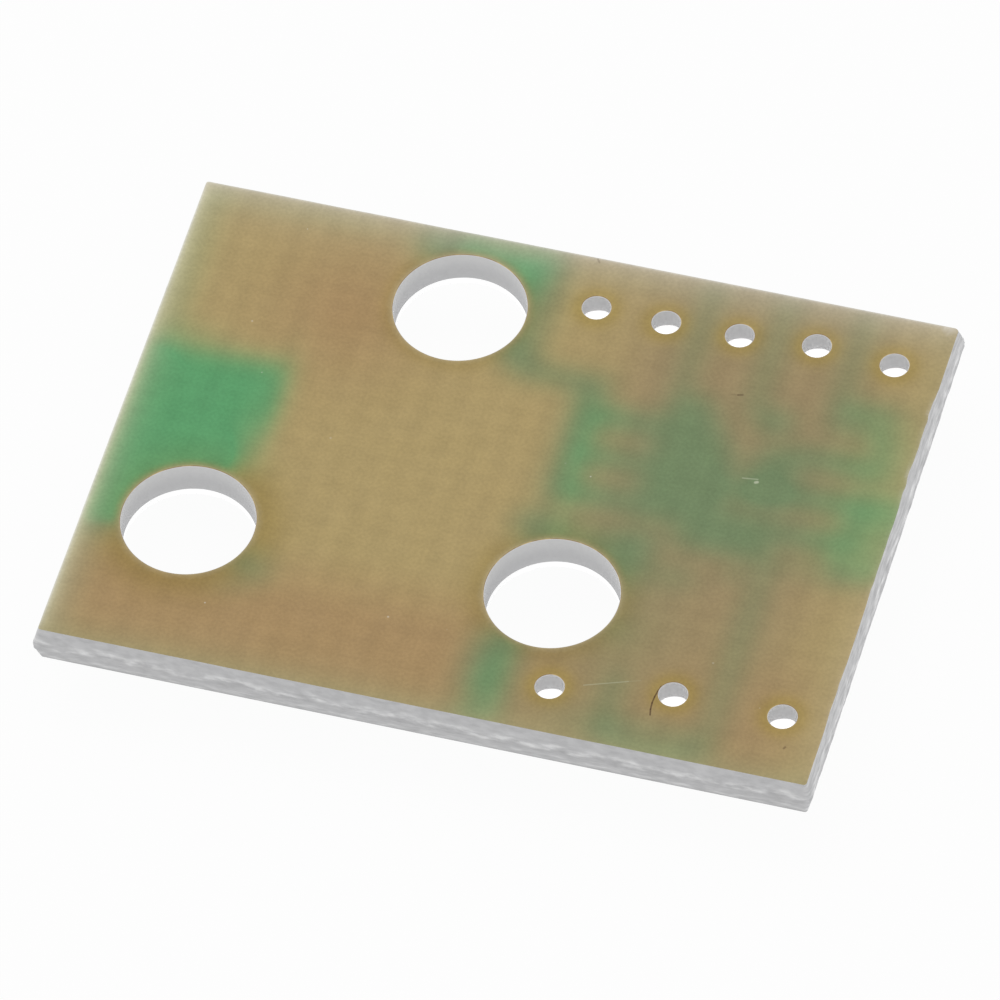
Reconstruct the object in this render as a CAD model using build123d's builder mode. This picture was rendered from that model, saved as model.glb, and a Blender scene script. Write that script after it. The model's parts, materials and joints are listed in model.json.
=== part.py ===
"""Sound module: a single-sided circuit board that carries one eight-pin voice chip.

The bare glass-epoxy side faces up. The copper, the solder mask and the chip are on the underside.
Sizes are in millimetres and angles in degrees. The origin is the middle of the board's upper face.
"""
import os
from math import atan2, degrees, radians, tan

from build123d import *

# Board plate
board_width = 20.4
board_depth = 15.24
laminate_thickness = 1.15

# Edges: V-grooves were scored into both faces, then the web left between them was snapped
score_angle = 30.0
score_depth = 0.42
web_break = 0.05
corner_radius = 0.08
worn_corner_radius = 0.3

# Mounting holes, evenly spaced on a circle
mounting_hole_count = 3
mounting_hole_diameter = 3.5
mounting_circle_diameter = 11.25
mounting_first_angle = 90.0
mounting_centre_shares = (-0.1265, -0.0306)

# Wire holes, with the drill's wander: shares of the board's width and depth, from its middle
wire_hole_diameter = 0.75
back_hole_shares = ((0.0426, 0.395), (0.1353, 0.393), (0.2319, 0.3957), (0.3314, 0.4062), (0.4353, 0.3976))
front_hole_shares = ((0.149, -0.4055), (0.302, -0.3707), (0.4436, -0.3707))

# Copper foil
copper_thickness = 0.035
copper_pullback = 0.35
etch_gap = 0.35
hole_clearance = 0.3
track_width = 0.35
wide_track_width = 0.8
land_reach = 1.0
relief_width = 0.75

# Lines that the copper follows, as shares of the board's width and depth, from its middle
pour_back_right_share = -0.206
pour_shoulder_shares = (-0.03, 0.2165)
pour_front_right_share = 0.036
window_back_shares = (-0.314, 0.151)
window_front_shares = (-0.33, -0.087)
window_tail_share = -0.28
relief_shares = (-0.263, -0.287)
signal_bend_shares = (0.247, 0.2907)
ground_land_front_share = -0.445

# Shares of the way from one front hole to the next, and from the chip lands to the last back hole
front_divide_share = 0.42
edge_land_share = 0.385

# Room between the chip's pads, the pour, the edge track and the ring kept clear at a mounting hole
pad_track_clearance = 0.6
pad_pour_clearance = 0.86
pad_ring_clearance = 0.33
land_ring_clearance = 0.12

# Solder mask, and the solder coat on the wire lands
mask_over_copper = 0.02
mask_pullback = 0.15
mask_margin = 0.05
land_diameter = 1.3
land_crown = 0.06
land_hole_margin = 0.04

# Voice chip: moulded body, bent leads, and the pads and solder that hold them
chip_length = 4.9
chip_width = 3.9
chip_thickness = 1.35
chip_standoff = 0.15
chip_draft = 7.0
chip_bevel = 0.3
pin_mark_diameter = 0.7
pin_mark_depth = 0.06
pin_mark_inset = 0.9
leads_per_side = 4
lead_pitch = 1.27
lead_span = 6.0
lead_width = 0.41
lead_thickness = 0.2
lead_root = 0.3
lead_shoulder = 0.25
lead_foot = 0.65
lead_bend_radius = 0.2
pad_span = 5.46
pad_length = 1.5
pad_width = 0.6
solder_film = 0.02
solder_rise = 0.12
solder_margin = 0.03
solder_slope = 0.2

# Levels and radii worked out from the sizes above
half_width = board_width / 2
half_depth = board_depth / 2
score_run = score_depth * tan(radians(score_angle / 2))
web_thickness = laminate_thickness - 2 * score_depth
laminate_low = -laminate_thickness
copper_low = laminate_low - copper_thickness
mask_low = copper_low - mask_over_copper
copper_right = half_width - copper_pullback
copper_back = half_depth - copper_pullback
mounting_hole_radius = mounting_hole_diameter / 2
ring_radius = mounting_hole_radius + hole_clearance
wire_hole_radius = wire_hole_diameter / 2
land_radius = land_diameter / 2
seat_level = copper_low - solder_film
foot_level = seat_level - lead_thickness / 2
parting_level = seat_level - chip_standoff - chip_thickness / 2
chip_low = parting_level - chip_thickness / 2


def on_board(shares):
    """The point at these shares of the board's width and depth, from its middle."""
    return (shares[0] * board_width, shares[1] * board_depth)


# Places of the holes, worked out from their shares
back_holes = [on_board(shares) for shares in back_hole_shares]
front_holes = [on_board(shares) for shares in front_hole_shares]
wire_holes = back_holes + front_holes
mounting_centre = on_board(mounting_centre_shares)
mounting_circle = PolarLocations(
    mounting_circle_diameter / 2, mounting_hole_count, start_angle=mounting_first_angle
)
mounting_holes = [
    (mounting_centre[0] + place.position.X, mounting_centre[1] + place.position.Y)
    for place in mounting_circle.local_locations
]
back_mounting_hole, left_mounting_hole = mounting_holes[:2]
ring_x, ring_y = mounting_holes[-1]

# Place of the chip: its right pads clear the edge track, and its front pads the last mounting hole
middle_row = (leads_per_side - 1) / 2
pads_right = copper_right - track_width - pad_track_clearance
pads_front = ring_y + ring_radius + pad_ring_clearance
chip_x = pads_right - (pad_length + pad_span) / 2
chip_y = pads_front + pad_width / 2 + middle_row * lead_pitch


def pad_place(side, row):
    """Middle of a chip pad: side -1 is left and 1 is right, and row 0 is the back one."""
    return (chip_x + side * pad_span / 2, chip_y + (middle_row - row) * lead_pitch)


# Chip pins in the order that they are counted, from the back one on the right
rows = list(range(leads_per_side))
pins = [(1, row) for row in rows] + [(-1, row) for row in reversed(rows)]
supply_pad, back_spare_pad, front_spare_pad = [pad_place(-1, row) for row in rows[:3]]
signal_pad_2, signal_pad_3, signal_pad_1 = [pad_place(1, row) for row in rows[:3]]
ground_pad, signal_pad_4 = pad_place(-1, rows[-1]), pad_place(1, rows[-1])
pads_left = supply_pad[0] - pad_length / 2
lands_front = supply_pad[1] + pad_width / 2 + etch_gap

# Lines midway between neighbouring holes, where the foil is etched apart
supply_divide = (back_holes[1][0] + back_holes[2][0]) / 2
signal_divide = (back_holes[2][0] + back_holes[3][0]) / 2
edge_divide = (back_holes[3][0] + back_holes[4][0]) / 2
ground_slit = (front_holes[0][0] + front_holes[1][0]) / 2
front_divide = front_holes[1][0] + front_divide_share * (front_holes[2][0] - front_holes[1][0])
half_gap = etch_gap / 2


def draw_plate(outline, growth):
    """Draw the board's outline, grown by this much on each side, with its worn back right corner."""
    Rectangle(board_width + 2 * growth, board_depth + 2 * growth)
    back_right = (half_width, half_depth)
    fillet(outline.vertices().sort_by_distance(back_right)[1:], corner_radius + growth)
    fillet(outline.vertices().sort_by_distance(back_right)[0], worn_corner_radius + growth)


def block(left, right, front, back):
    """Draw the rectangle between these four sides."""
    with Locations(((left + right) / 2, (front + back) / 2)):
        Rectangle(right - left, back - front)


def pad(place):
    """Draw one chip pad."""
    with Locations(place):
        Rectangle(pad_length, pad_width)


def track(width, *points):
    """Draw copper of one width along these points, with round bends."""
    for start, end in zip(points, points[1:]):
        run = Vector(*end) - Vector(*start)
        with Locations((Vector(*start) + Vector(*end)) / 2):
            SlotCenterToCenter(run.length, width, rotation=degrees(atan2(run.Y, run.X)))


def clear_holes():
    """Cut the wire holes, and clear rings at the mounting holes, from the sketch being drawn."""
    with Locations(*wire_holes):
        Circle(wire_hole_radius, mode=Mode.SUBTRACT)
    with Locations(*mounting_holes):
        Circle(ring_radius, mode=Mode.SUBTRACT)


def save(piece, name):
    """Label a finished piece and write it to its own file."""
    piece.part.label = name
    export_step(piece.part, f"parts/{name}.step")


os.makedirs("parts", exist_ok=True)
foil_plane = Plane.XY.offset(copper_low)

# Laminate board: flared flanks above and below the snapped web, and the drilled holes
with BuildPart() as laminate_board:
    with BuildSketch() as upper_face:
        draw_plate(upper_face, 0)
    extrude(amount=-score_depth, taper=-score_angle / 2)
    with BuildSketch(Plane.XY.offset(laminate_low)) as lower_face:
        draw_plate(lower_face, 0)
    extrude(amount=score_depth, taper=-score_angle / 2)
    with BuildSketch(Plane.XY.offset(-score_depth)) as web:
        draw_plate(web, score_run + web_break)
    extrude(amount=-web_thickness)
    with Locations(*mounting_holes):
        Hole(mounting_hole_radius)
    with Locations(*wire_holes):
        Hole(wire_hole_radius)
save(laminate_board, "laminate_board")

# Ground copper: the wide pour round the mounting holes, the ground pin's track and the two front lands
with BuildPart() as ground_copper:
    with BuildSketch(foil_plane):
        shoulder = on_board(pour_shoulder_shares)
        pour_right = pads_left - pad_pour_clearance
        pour_step = ground_pad[1] - track_width / 2
        pour_back_right = pour_back_right_share * board_width
        pour_front_right = pour_front_right_share * board_width
        window_back_right = on_board(window_back_shares)
        with BuildLine():
            Polyline(
                (-copper_right, copper_back),
                (pour_back_right, copper_back),
                (pour_back_right, back_mounting_hole[1]),
                back_mounting_hole,
                shoulder,
                (pour_right, shoulder[1]),
                (pour_right, pour_step),
                (pour_front_right, pour_step),
                (pour_front_right, -copper_back),
                (-copper_right, -copper_back),
                (-copper_right, window_tail_share * board_depth),
                left_mounting_hole,
                on_board(window_front_shares),
                window_back_right,
                (-copper_right, window_back_right[1]),
                close=True,
            )
        make_face()
        land_left = ring_x + ring_radius + land_ring_clearance
        land_back = pads_front - half_gap
        land_front = ground_land_front_share * board_depth
        joint_front = ring_y - ring_radius
        link_x = land_left + track_width
        pad(ground_pad)
        block(pour_right - track_width, link_x, pour_step, pour_step + track_width)
        block(link_x - track_width, link_x, land_back - track_width, pour_step + track_width)
        block(land_left, front_divide - half_gap, joint_front, land_back)
        block(ground_slit + half_gap, front_divide - half_gap, land_front, land_back)
        block(front_holes[0][0] - land_reach, ground_slit - half_gap, -copper_back, joint_front + etch_gap)
        block(front_holes[0][0], link_x, joint_front, joint_front + land_reach)
        with Locations(on_board(relief_shares)):
            Rectangle(relief_width, relief_width, mode=Mode.SUBTRACT)
        clear_holes()
    extrude(amount=copper_thickness)

# Supply copper: the land that two back holes share, down to the supply pin
with BuildPart() as supply_copper:
    with BuildSketch(foil_plane):
        block(back_holes[0][0] - land_reach, supply_divide - half_gap, lands_front, copper_back)
        block(pads_left, supply_divide - half_gap, supply_pad[1], lands_front)
        pad(supply_pad)
        clear_holes()
    extrude(amount=copper_thickness)

# Signal copper 1: the third back land, and a track that runs under the chip
with BuildPart() as signal_copper_1:
    with BuildSketch(foil_plane):
        start_x, end_x = [share * board_width for share in signal_bend_shares]
        bend_end = (end_x, (signal_pad_2[1] + signal_pad_3[1]) / 2)
        block(supply_divide + half_gap, signal_divide - half_gap, lands_front, copper_back)
        track(wide_track_width, (start_x, lands_front), bend_end)
        track(track_width, bend_end, (end_x, signal_pad_1[1]), signal_pad_1)
        pad(signal_pad_1)
        clear_holes()
    extrude(amount=copper_thickness)

# Signal copper 2: the fourth back land, down to the back pin on the right
with BuildPart() as signal_copper_2:
    with BuildSketch(foil_plane):
        neck_right = edge_divide - half_gap
        neck_left = neck_right - wide_track_width
        neck_front = signal_pad_2[1] - pad_width / 2
        block(signal_divide + half_gap, neck_right, lands_front, copper_back)
        block(neck_left, neck_right, neck_front, lands_front)
        block(neck_left, signal_pad_2[0], neck_front, neck_front + pad_width)
        pad(signal_pad_2)
        clear_holes()
    extrude(amount=copper_thickness)

# Signal copper 3: the fifth back land, and a track down the right edge
with BuildPart() as signal_copper_3:
    with BuildSketch(foil_plane):
        land_front = lands_front + edge_land_share * (back_holes[4][1] - lands_front)
        track_front = signal_pad_3[1] - track_width / 2
        block(edge_divide + half_gap, copper_right, land_front, copper_back)
        block(copper_right - track_width, copper_right, track_front, land_front)
        block(signal_pad_3[0], copper_right, track_front, track_front + track_width)
        pad(signal_pad_3)
        clear_holes()
    extrude(amount=copper_thickness)

# Signal copper 4: the third front land, up to the front pin on the right
with BuildPart() as signal_copper_4:
    with BuildSketch(foil_plane):
        land_back = pads_front - etch_gap
        block(front_divide + half_gap, copper_right, -copper_back, land_back)
        block(front_divide + half_gap, pads_right, land_back, signal_pad_4[1])
        pad(signal_pad_4)
        clear_holes()
    extrude(amount=copper_thickness)

# Spare pads: two chip pins that no track reaches
with BuildPart() as spare_pad_1:
    with BuildSketch(foil_plane):
        pad(back_spare_pad)
    extrude(amount=copper_thickness)

with BuildPart() as spare_pad_2:
    with BuildSketch(foil_plane):
        pad(front_spare_pad)
    extrude(amount=copper_thickness)

foils = {
    "ground_copper": ground_copper,
    "supply_copper": supply_copper,
    "signal_copper_1": signal_copper_1,
    "signal_copper_2": signal_copper_2,
    "signal_copper_3": signal_copper_3,
    "signal_copper_4": signal_copper_4,
    "spare_pad_1": spare_pad_1,
    "spare_pad_2": spare_pad_2,
}
for name, foil in foils.items():
    save(foil, name)

# Solder mask: one film that fills the etched gaps, covers the copper and is open at lands and pads
with BuildPart() as solder_mask:
    with BuildSketch(Plane.XY.offset(mask_low)):
        Rectangle(board_width - 2 * mask_pullback, board_depth - 2 * mask_pullback)
        with Locations(*mounting_holes):
            Circle(mounting_hole_radius + mask_margin, mode=Mode.SUBTRACT)
        with Locations(*wire_holes):
            Circle(land_radius + mask_margin, mode=Mode.SUBTRACT)
        with Locations(*[pad_place(side, row) for side, row in pins]):
            Rectangle(pad_length + 2 * mask_margin, pad_width + 2 * mask_margin, mode=Mode.SUBTRACT)
    extrude(amount=laminate_low - mask_low)
    for foil in foils.values():
        add(foil.part, mode=Mode.SUBTRACT)
save(solder_mask, "solder_mask")

# Tinned lands: a low ring of solder on the copper round each wire hole, highest halfway out
for number, (hole_x, hole_y) in enumerate(wire_holes, start=1):
    land_plane = Plane(origin=(hole_x, hole_y, copper_low), x_dir=(1, 0, 0), z_dir=(0, -1, 0))
    inner_radius = wire_hole_radius + land_hole_margin
    crown = ((inner_radius + land_radius) / 2, -land_crown)
    with BuildPart() as tinned_land:
        with BuildSketch(land_plane):
            with BuildLine():
                Polyline((inner_radius, 0), crown, (land_radius, 0), close=True)
            make_face()
        revolve(axis=Axis((hole_x, hole_y, copper_low), (0, 0, 1)))
    save(tinned_land, f"tinned_land_{number}")

# Chip leads: each starts in the body at its parting line and bends up to a foot on its pad
chip_leads = []
for number, (side, row) in enumerate(pins, start=1):
    lead_y = pad_place(side, row)[1]
    lead_plane = Plane(origin=(chip_x, lead_y, 0), x_dir=(side, 0, 0), z_dir=(0, -side, 0))
    body_side = chip_width / 2
    toe = lead_span / 2
    with BuildPart() as chip_lead:
        with BuildLine(lead_plane) as bends:
            FilletPolyline(
                (body_side - lead_root, parting_level),
                (body_side + lead_shoulder, parting_level),
                (toe - lead_foot, foot_level),
                (toe, foot_level),
                radius=lead_bend_radius,
            )
        with BuildSketch(Plane(origin=bends.line @ 0, x_dir=(0, 1, 0), z_dir=bends.line % 0)):
            Rectangle(lead_width, lead_thickness)
        sweep()
    chip_leads.append(chip_lead)
    save(chip_lead, f"chip_lead_{number}")

# Solder joints: each wets its pad and rises round the lead's foot
for number, ((side, row), chip_lead) in enumerate(zip(pins, chip_leads), start=1):
    wetted_length = pad_length - 2 * solder_margin
    wetted_width = pad_width - 2 * solder_margin
    with BuildPart() as solder_joint:
        with BuildSketch(Plane.XY.offset(copper_low)):
            with Locations(pad_place(side, row)):
                Rectangle(wetted_length, wetted_width)
        with BuildSketch(Plane.XY.offset(seat_level - solder_rise)):
            with Locations(pad_place(side, row)):
                Rectangle(wetted_length - 2 * solder_slope, lead_width + 2 * solder_margin)
        loft()
        add(chip_lead.part, mode=Mode.SUBTRACT)
    save(solder_joint, f"solder_joint_{number}")

# Chip body: two drafted halves, a bevel on the side of the first pins, a round pin mark and lead roots
with BuildPart() as chip_body:
    with BuildSketch(Plane.XY.offset(parting_level)):
        with Locations((chip_x, chip_y)):
            Rectangle(chip_width, chip_length)
    extrude(amount=chip_thickness / 2, taper=chip_draft, both=True)
    low_edges = chip_body.edges().filter_by(Axis.Y).group_by(Axis.Z)[0]
    chamfer(low_edges.sort_by(Axis.X)[-1], chip_bevel)
    mark_x = chip_x + chip_width / 2 - pin_mark_inset
    mark_y = chip_y + chip_length / 2 - pin_mark_inset
    with BuildSketch(Plane.XY.offset(chip_low)):
        with Locations((mark_x, mark_y)):
            Circle(pin_mark_diameter / 2)
    extrude(amount=pin_mark_depth, mode=Mode.SUBTRACT)
    for chip_lead in chip_leads:
        add(chip_lead.part, mode=Mode.SUBTRACT)
save(chip_body, "chip_body")
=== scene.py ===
# %% [markdown]
# The board of a sound module
# The real object is a thumbnail-sized circuit board, lying with its bare glass-epoxy side up. The copper,
# the green mask and the chip are underneath, and they show through the plate as soft fields. The packed
# CAD model is loaded first. It fixes where every piece is, so all later cells measure it.

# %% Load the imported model
import json
from math import ceil, cos, pi, radians, sin

import bpy
import numpy as np
from mathutils import Matrix, Vector
from mathutils.geometry import delaunay_2d_cdt


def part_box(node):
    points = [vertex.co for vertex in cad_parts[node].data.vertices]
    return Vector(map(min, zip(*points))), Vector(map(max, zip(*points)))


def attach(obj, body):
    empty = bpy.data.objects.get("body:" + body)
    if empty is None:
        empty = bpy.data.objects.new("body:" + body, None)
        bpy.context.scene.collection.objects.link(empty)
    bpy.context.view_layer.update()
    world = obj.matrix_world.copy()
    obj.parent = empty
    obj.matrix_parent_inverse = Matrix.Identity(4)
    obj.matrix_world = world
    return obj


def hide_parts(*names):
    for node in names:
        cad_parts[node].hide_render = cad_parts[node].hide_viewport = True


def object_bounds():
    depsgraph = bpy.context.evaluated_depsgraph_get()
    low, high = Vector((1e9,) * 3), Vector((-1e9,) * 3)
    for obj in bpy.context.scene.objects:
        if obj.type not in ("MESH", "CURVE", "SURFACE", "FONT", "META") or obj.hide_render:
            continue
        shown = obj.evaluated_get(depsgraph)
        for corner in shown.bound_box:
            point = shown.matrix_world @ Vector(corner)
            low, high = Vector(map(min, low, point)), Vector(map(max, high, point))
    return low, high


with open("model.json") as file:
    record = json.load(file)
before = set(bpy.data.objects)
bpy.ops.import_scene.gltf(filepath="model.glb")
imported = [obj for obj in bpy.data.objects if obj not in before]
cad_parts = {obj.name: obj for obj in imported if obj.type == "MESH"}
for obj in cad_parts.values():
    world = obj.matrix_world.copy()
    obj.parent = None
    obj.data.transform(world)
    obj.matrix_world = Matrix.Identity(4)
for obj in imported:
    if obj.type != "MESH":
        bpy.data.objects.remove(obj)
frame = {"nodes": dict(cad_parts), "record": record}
cad_low, cad_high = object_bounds()
scene = bpy.context.scene
mm = 0.001
print("CAD box in mm:", [round(side / mm, 3) for side in cad_high - cad_low])

# %% [markdown]
# The camera
# The photo was taken from far away with a long lens, so parallel edges stay nearly parallel. A camera can
# be placed by eye, but here its angles were worked out from the board's corners. It looks at one point on
# the board, from an azimuth and an elevation, and is rolled a little.

# %% Place the camera
aim = Vector((0.166, -0.698, 0.0)) * mm
distance = 372.2 * mm
azimuth, elevation, roll = radians(18.755), radians(52.057), radians(-3.657)

back = Vector((sin(azimuth) * cos(elevation), -cos(azimuth) * cos(elevation), sin(elevation)))
level_right = Vector((cos(azimuth), sin(azimuth), 0.0))
right = cos(roll) * level_right + sin(roll) * back.cross(level_right)
up = back.cross(right)
turned = Matrix((right, up, back)).transposed().to_4x4()

camera_data = bpy.data.cameras.new("photo_camera")
camera_data.sensor_width = 36.0
camera_data.lens = 520.3
camera_data.clip_start, camera_data.clip_end = 0.01, 10.0
camera = bpy.data.objects.new("photo_camera", camera_data)
camera.matrix_world = Matrix.Translation(aim + back * distance) @ turned
scene.collection.objects.link(camera)
scene.camera = camera
print("camera stands at", [round(value / mm, 1) for value in camera.matrix_world.translation], "mm")

# %% [markdown]
# Node helpers
# A finish is a graph of nodes that ends in one shader. Written out in full, each node takes several
# lines. A few helpers keep the later cells short: they add a node and fill its inputs, mix two colours,
# do one sum, ease a number from one value to another, and start a finish. Colours are given as they look
# on a screen, 0 to 255, and turned into light values, because shaders reckon with light.

# %% Define the node helpers
def colour(red, green, blue):
    """Light values of a screen colour: each share of 255 raised by the screen's own curve."""
    shares = np.array((red, green, blue)) / 255.0
    light = np.where(shares <= 0.04045, shares / 12.92, ((shares + 0.055) / 1.055) ** 2.4)
    return (*light.tolist(), 1.0)


def node(tree, kind, inputs=None, **settings):
    """Adds one node, sets its settings, then fills each input with a value or another node's output."""
    made = tree.nodes.new(kind)
    for key, value in settings.items():
        setattr(made, key, value)
    for key, value in (inputs or {}).items():
        if isinstance(value, bpy.types.NodeSocket):
            tree.links.new(value, made.inputs[key])
        else:
            made.inputs[key].default_value = value
    return made


def mixed(tree, share, first, second, way="MIX"):
    """Colour output that goes from the first colour to the second as the share goes from 0 to 1."""
    inputs = {0: share, 6: first, 7: second}
    return node(tree, "ShaderNodeMix", inputs, data_type="RGBA", blend_type=way).outputs[2]


def reckon(tree, work, first, second=0.0):
    """Number output of one sum on two numbers."""
    return node(tree, "ShaderNodeMath", {0: first, 1: second}, operation=work).outputs[0]


def ramp(tree, value, low, high, start=0.0, end=1.0):
    """Number output that goes smoothly from start to end as the value goes from low to high."""
    inputs = {"Value": value, "From Min": low, "From Max": high, "To Min": start, "To Max": end}
    return node(tree, "ShaderNodeMapRange", inputs, interpolation_type="SMOOTHSTEP").outputs[0]


def new_finish(name, **values):
    """A material with one Principled shader whose constant values are set on its own sockets."""
    finish = bpy.data.materials.new(name)
    finish.use_nodes = True
    shader = finish.node_tree.nodes["Principled BSDF"]
    for key, value in values.items():
        shader.inputs[key.replace("_", " ")].default_value = value
    return finish, finish.node_tree, shader


print("a mid grey of 128 is", round(colour(128, 128, 128)[0], 3), "in light values")

# %% [markdown]
# The studio
# The board was photographed in a tent of white light, on a white table that glows a little itself. One
# could model softboxes and a sweep. A bright world, one soft lamp and a pale floor give the same light.
# The floor lies just under the lowest point of the object, the chip's underside.

# %% Light the studio
scene.view_settings.view_transform = "Standard"
tent_light, floor_glow, lamp_power = 0.72, 0.965, 0.62
white = (1.0, 1.0, 1.0, 1.0)

world = bpy.data.worlds.new("white_tent")
world.use_nodes = True
world.node_tree.nodes["Background"].inputs["Color"].default_value = white
world.node_tree.nodes["Background"].inputs["Strength"].default_value = tent_light
scene.world = world

lamp_data = bpy.data.lights.new("soft_lamp", "AREA")
lamp_data.shape, lamp_data.size, lamp_data.energy = "SQUARE", 0.3, lamp_power
lamp = bpy.data.objects.new("soft_lamp", lamp_data)
lamp_spot = Vector((-0.12, 0.1, 0.42))
lamp_turn = lamp_spot.to_track_quat("Z", "Y").to_matrix().to_4x4()
lamp.matrix_world = Matrix.Translation(lamp_spot) @ lamp_turn
scene.collection.objects.link(lamp)

floor_finish, _, _ = new_finish(
    "white_table", Base_Color=(0.02, 0.02, 0.02, 1.0), Roughness=0.9, Specular_IOR_Level=0.0,
    Emission_Color=white, Emission_Strength=floor_glow,
)
floor_half, floor_drop = 1.5, 0.01 * mm
corner_x, corner_y = np.array((-1, 1, 1, -1)) * floor_half, np.array((-1, -1, 1, 1)) * floor_half
floor_points = np.stack((corner_x, corner_y, np.full(4, cad_low.z - floor_drop)), axis=1)
floor_mesh = bpy.data.meshes.new("white_table")
floor_mesh.from_pydata(floor_points.tolist(), [], [(0, 1, 2, 3)])
floor_mesh.materials.append(floor_finish)
floor = bpy.data.objects.new("white_table", floor_mesh)
scene.collection.objects.link(floor)
print("floor at", round(cad_low.z / mm, 3), "mm")

# %% [markdown]
# Measures of the plate
# The plate was scored with a V-groove in both faces and snapped, so its edge flares to a rough web
# halfway down. Its sizes could be typed in. Instead its faces and web are read from the CAD plate's own
# points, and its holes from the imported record, which keeps this script true to the frame when the CAD is
# packed again.

# %% Read the plate and its holes
tiny = 0.001
wide_steps, small_steps = 120, 48


def node_mesh(name):
    """Points in millimetres and corner numbers of the triangles of a CAD node."""
    mesh = frame["nodes"][name].data
    points = np.empty(len(mesh.vertices) * 3)
    mesh.vertices.foreach_get("co", points)
    mesh.calc_loop_triangles()
    corners = np.empty(len(mesh.loop_triangles) * 3, dtype=int)
    mesh.loop_triangles.foreach_get("vertices", corners)
    return points.reshape(-1, 3) / mm, corners.reshape(-1, 3)


cad_points, cad_corners = node_mesh("laminate_board")
top_level, low_level = cad_points[:, 2].max(), cad_points[:, 2].min()
on_top = cad_points[:, 2] > top_level - tiny
half_x, half_y = cad_points[on_top][:, :2].max(axis=0)
web_reach = cad_points[:, 0].max() - half_x
at_web = cad_points[cad_points[:, 0] > half_x + web_reach - tiny]
web_top, web_low = at_web[:, 2].max(), at_web[:, 2].min()
corner_levels = cad_points[cad_corners][:, :, 2]
from_top = corner_levels.max(axis=1) > top_level - tiny
to_web = np.abs(corner_levels.min(axis=1) - web_top) < tiny
flank_run = cad_points[cad_corners[from_top & to_web]][:, :, 0].max() - half_x

holes = []
for mount in frame["record"]["mounts"]:
    if mount["kind"] == "bore":
        wide = "mounting" in mount["name"]
        hole = {"name": mount["name"], "wide": wide, "count": wide_steps if wide else small_steps}
        hole["centre"] = np.array(mount["pos_m"][:2]) / mm
        hole["radius"] = mount["dims"]["r_mm"]
        holes.append(hole)
plate_size = (2 * half_x, 2 * half_y, top_level - low_level)
print("plate", [round(side, 2) for side in plate_size], "mm with", len(holes), "holes")
print("web from", round(web_top, 3), "to", round(web_low, 3), "mm")
print("flank runs out", round(flank_run, 4), "and web", round(web_reach, 4), "mm")

# %% [markdown]
# What shows through the plate
# Copper on the far side looks brown through the plate, and bare mask looks green. The glass cloth
# scatters light, so both have soft borders. Real scattering would be slow and noisy to render. So the
# copper solids are drawn onto a fine grid, triangle by triangle, and the grid is blurred with a Gaussian
# in the frequency domain, which is one product over the whole array.

# %% Draw the copper and define its blur
cell, margin = 0.05, 1.0
grid_low = np.array((-half_x - margin, -half_y - margin))
grid_shape = np.ceil((2 * np.array((half_y, half_x)) + 2 * margin) / cell).astype(int)


def draw_triangles(points, corners):
    """Grid of 0 and 1: a cell is 1 if its middle lies on the inner side of a triangle's three edges."""
    drawn = np.zeros(grid_shape)
    for triangle in points[corners][:, :, :2]:
        first = np.maximum(((triangle.min(axis=0) - grid_low) / cell).astype(int), 0)
        last = ((triangle.max(axis=0) - grid_low) / cell).astype(int) + 2
        across, along = np.meshgrid(np.arange(first[0], last[0]), np.arange(first[1], last[1]))
        x, y = (across + 0.5) * cell + grid_low[0], (along + 0.5) * cell + grid_low[1]
        runs = np.roll(triangle, -1, axis=0) - triangle
        sides = [run[0] * (y - spot[1]) - run[1] * (x - spot[0]) for spot, run in zip(triangle, runs)]
        inside = (np.min(sides, axis=0) >= 0) | (np.max(sides, axis=0) <= 0)
        window = drawn[first[1]:last[1], first[0]:last[0]]
        np.maximum(window, inside, out=window)
    return drawn


def blurred(field, spread):
    """The field under a Gaussian of this spread in millimetres: its spectrum times the Gaussian's."""
    waves_y = np.fft.fftfreq(field.shape[0], cell)[:, None]
    waves_x = np.fft.rfftfreq(field.shape[1], cell)[None, :]
    gaussian = np.exp(-2 * (pi * spread) ** 2 * (waves_x ** 2 + waves_y ** 2))
    return np.fft.irfft2(np.fft.rfft2(field) * gaussian, s=field.shape)


def read_field(field, spots):
    """Values of a field at spots in millimetres, straight-line between the four nearest cells."""
    just_inside = np.array(field.shape[::-1]) - 1.001
    where = np.clip((spots - grid_low) / cell - 0.5, 0, just_inside)
    left, low = where.astype(int).T
    part_x, part_y = (where - where.astype(int)).T
    lower = field[low, left] * (1 - part_x) + field[low, left + 1] * part_x
    upper = field[low + 1, left] * (1 - part_x) + field[low + 1, left + 1] * part_x
    return lower * (1 - part_y) + upper * part_y


copper_names = [name for name in frame["nodes"] if "copper" in name or "spare_pad" in name]
copper_field = np.zeros(grid_shape)
for name in copper_names:
    points, corners = node_mesh(name)
    facing_plate = (points[corners][:, :, 2] > low_level - tiny).all(axis=1)
    copper_field = np.maximum(copper_field, draw_triangles(points, corners[facing_plate]))
covered = copper_field.sum() * cell ** 2 / (4 * half_x * half_y)
print("copper covers", round(100 * covered), "percent of the plate")

# %% [markdown]
# Outlines and openings
# The plate's faces and the mask are flat sheets with round and square openings. Curve objects could draw
# their outlines. Here an outline is an array of points, straight runs joined by quarter circles, because
# the edge profile needs each point's outward direction, and the colours need its distance from every rim.

# %% Define outlines and openings
arc_points = 7
pad_corner, pad_spacing = 0.02, 0.1


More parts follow.
